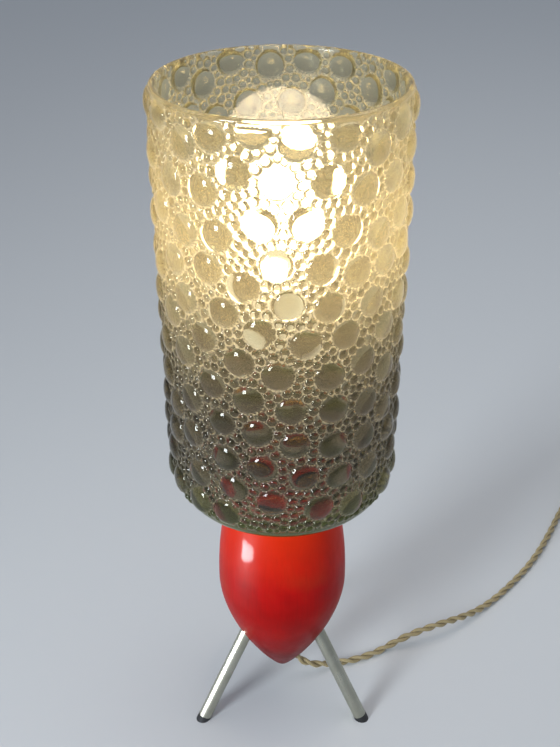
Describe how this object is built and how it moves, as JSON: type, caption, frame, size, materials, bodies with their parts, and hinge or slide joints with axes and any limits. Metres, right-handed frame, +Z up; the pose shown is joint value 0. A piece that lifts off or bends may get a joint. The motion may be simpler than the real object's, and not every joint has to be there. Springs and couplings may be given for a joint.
{
  "type": "table lamp",
  "caption": "Table lamp with an egg-shaped wooden body on slanted metal legs, an open bubbled glass shade round a screw-in globe bulb, and a flex with an in-line rocker switch and plug.",
  "frame": {"origin": "on the lamp's upright axis, at the height of the table it stands on", "axes": "+Z up, the front of the lamp looks along -Y, the flex leaves towards +X and +Y"},
  "size_m": [0.4801, 0.3667, 0.491],
  "materials": {
    "lacquered_wood": "glossy red lacquer",
    "brushed_steel": "brushed",
    "steel_hardware": "zinc plated",
    "brass": "turned",
    "black_rubber": "matt",
    "gasket_rubber": "matt, translucent white",
    "amber_glass": "thick amber to green glass with bubbles in relief",
    "holder_plastic": "smooth",
    "holder_ceramic": "glazed porcelain",
    "nickel": "nickel plated",
    "cap_metal": "rolled sheet",
    "bulb_glass": "clear",
    "bulb_insulator": "black vitrite",
    "filament": "glowing wire",
    "flex": "old gold, slightly translucent",
    "switch_plastic": "smooth, old gold",
    "rocker_plastic": "smooth, old gold",
    "plug_plastic": "smooth, old gold"
  },
  "bodies": {
    "lamp": {"wooden_egg": "lacquered_wood", "exit_bushing": "brass", "stem_insert": "brass", "switch_terminal_plug_side": "brass", "switch_terminal_lamp_side": "brass", "holder_contact": "brass", "leg_tube_back": "brushed_steel", "leg_stud_back": "steel_hardware", "leg_insert_back": "brass", "leg_foot_back": "black_rubber", "leg_tube_left": "brushed_steel", "leg_stud_left": "steel_hardware", "leg_insert_left": "brass", "leg_foot_left": "black_rubber", "leg_tube_right": "brushed_steel", "leg_stud_right": "steel_hardware", "leg_insert_right": "brass", "leg_foot_right": "black_rubber", "stem_tube": "steel_hardware", "holder_screw_left": "steel_hardware", "holder_screw_right": "steel_hardware", "switch_screw_left": "steel_hardware", "switch_screw_right": "steel_hardware", "switch_pin": "steel_hardware", "lower_gasket": "gasket_rubber", "upper_gasket": "gasket_rubber", "clamp_washer": "brass", "clamp_nut": "brass", "stem_cover": "nickel", "holder_shell": "nickel", "plug_pin_left": "nickel", "plug_pin_right": "nickel", "glass_shade": "amber_glass", "holder_cap": "holder_plastic", "holder_skirt": "holder_plastic", "holder_ceramic": "holder_ceramic", "inner_cord": "flex", "cord_lamp_run": "flex", "cord_switch_run": "flex", "cord_coil": "flex", "cord_plug_run": "flex", "switch_tail_lamp_side": "flex", "switch_tail_plug_side": "flex", "switch_base": "switch_plastic", "switch_cover": "switch_plastic", "switch_grip_lamp_side": "switch_plastic", "switch_grip_plug_side": "switch_plastic", "plug_body": "plug_plastic", "plug_relief": "plug_plastic"},
    "bulb_carriage": {"bulb_contact": "brass"},
    "bulb": {"bulb_envelope": "bulb_glass", "bulb_cap": "cap_metal", "bulb_insulator": "bulb_insulator", "bulb_mount": "bulb_glass", "bulb_filament": "filament"},
    "rocker": {"switch_rocker": "rocker_plastic"},
    "blade": {"switch_blade": "brass"}
  },
  "joints": [
    {"name": "bulb_rise", "type": "slide", "parent": "lamp", "child": "bulb_carriage", "axis": [0, 0, 1], "range_m": [0, 0.0218]},
    {"name": "bulb_turn", "type": "hinge", "parent": "bulb_carriage", "child": "bulb", "pos_m": [0, 0, 0.36], "axis": [0, 0, 1], "range_deg": [0, 2160]},
    {"name": "switch_rock", "type": "hinge", "parent": "lamp", "child": "rocker", "pos_m": [0.3267, 0.258, 0.0145], "axis": [0.5878, -0.809, 0], "range_deg": [0, 18]},
    {"name": "blade_tip", "type": "hinge", "parent": "lamp", "child": "blade", "pos_m": [0.3267, 0.258, 0.005], "axis": [-0.5878, 0.809, 0], "range_deg": [0, 16]}
  ],
  "couplings": [
    {"joint": "bulb_rise", "follows": "bulb_turn", "m_per_rad": 0.00057757},
    {"joint": "blade_tip", "follows": "switch_rock", "ratio": 0.88889}
  ]
}
